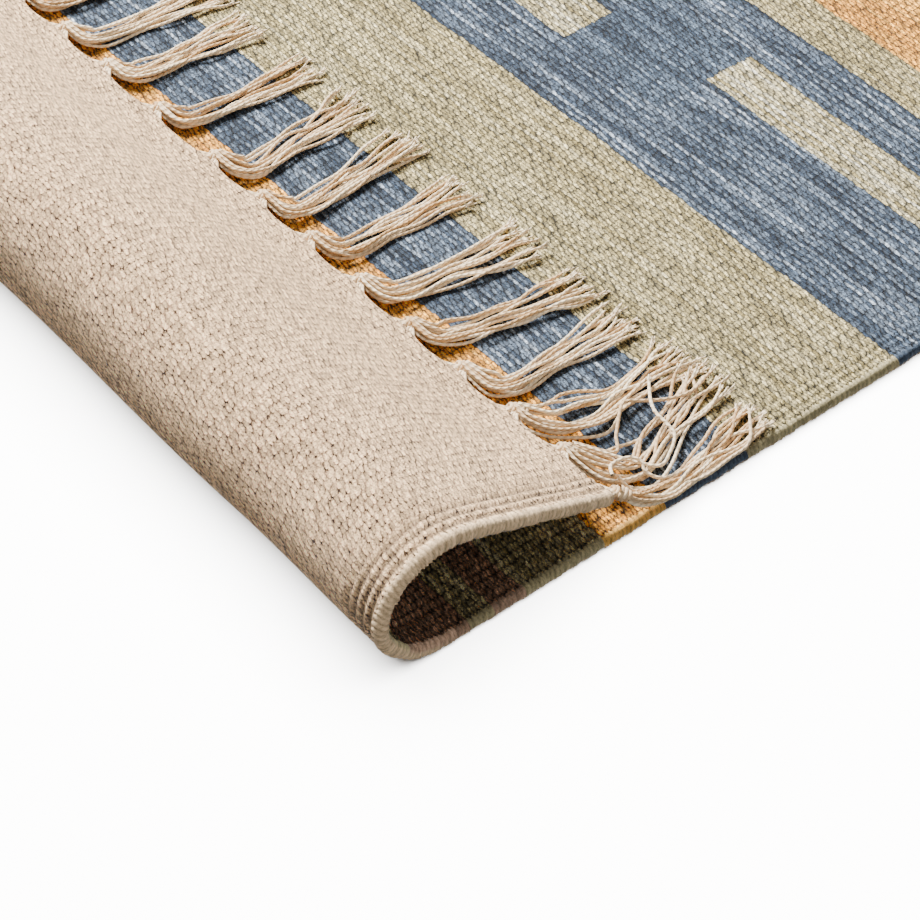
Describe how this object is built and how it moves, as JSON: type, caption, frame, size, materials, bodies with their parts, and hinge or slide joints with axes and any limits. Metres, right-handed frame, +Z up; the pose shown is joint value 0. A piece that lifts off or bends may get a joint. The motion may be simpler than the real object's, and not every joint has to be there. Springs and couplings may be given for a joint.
{
  "type": "cotton rug",
  "caption": "Flat-woven cotton rug with printed bands of blue, sage and apricot, a natural back and knotted fringes, one end folded back over its face.",
  "frame": {"origin": "on the floor at the middle of the rug's outline as it lies", "axes": "+Z up, +Y along the rug's length from the folded end to the far end, +X across it"},
  "size_m": [0.6027, 0.8491, 0.0526],
  "materials": {
    "printed_cotton": "matt flat weave, printed bands on the face, natural on the back",
    "natural_cotton": "matt undyed twisted warp yarn"
  },
  "bodies": {
    "root": {"rug_cloth": "printed_cotton", "fold_tassel_01": "natural_cotton", "fold_tassel_02": "natural_cotton", "fold_tassel_03": "natural_cotton", "fold_tassel_04": "natural_cotton", "fold_tassel_05": "natural_cotton", "fold_tassel_06": "natural_cotton", "fold_tassel_07": "natural_cotton", "fold_tassel_08": "natural_cotton", "fold_tassel_09": "natural_cotton", "fold_tassel_10": "natural_cotton", "fold_tassel_11": "natural_cotton", "fold_tassel_12": "natural_cotton", "fold_tassel_13": "natural_cotton", "fold_tassel_14": "natural_cotton", "fold_tassel_15": "natural_cotton", "fold_tassel_16": "natural_cotton", "fold_tassel_17": "natural_cotton", "fold_tassel_18": "natural_cotton", "fold_tassel_19": "natural_cotton", "fold_tassel_20": "natural_cotton", "far_tassel_01": "natural_cotton", "far_tassel_02": "natural_cotton", "far_tassel_03": "natural_cotton", "far_tassel_04": "natural_cotton", "far_tassel_05": "natural_cotton", "far_tassel_06": "natural_cotton", "far_tassel_07": "natural_cotton", "far_tassel_08": "natural_cotton", "far_tassel_09": "natural_cotton", "far_tassel_10": "natural_cotton", "far_tassel_11": "natural_cotton", "far_tassel_12": "natural_cotton", "far_tassel_13": "natural_cotton", "far_tassel_14": "natural_cotton", "far_tassel_15": "natural_cotton", "far_tassel_16": "natural_cotton", "far_tassel_17": "natural_cotton", "far_tassel_18": "natural_cotton", "far_tassel_19": "natural_cotton", "far_tassel_20": "natural_cotton"}
  },
  "joints": []
}
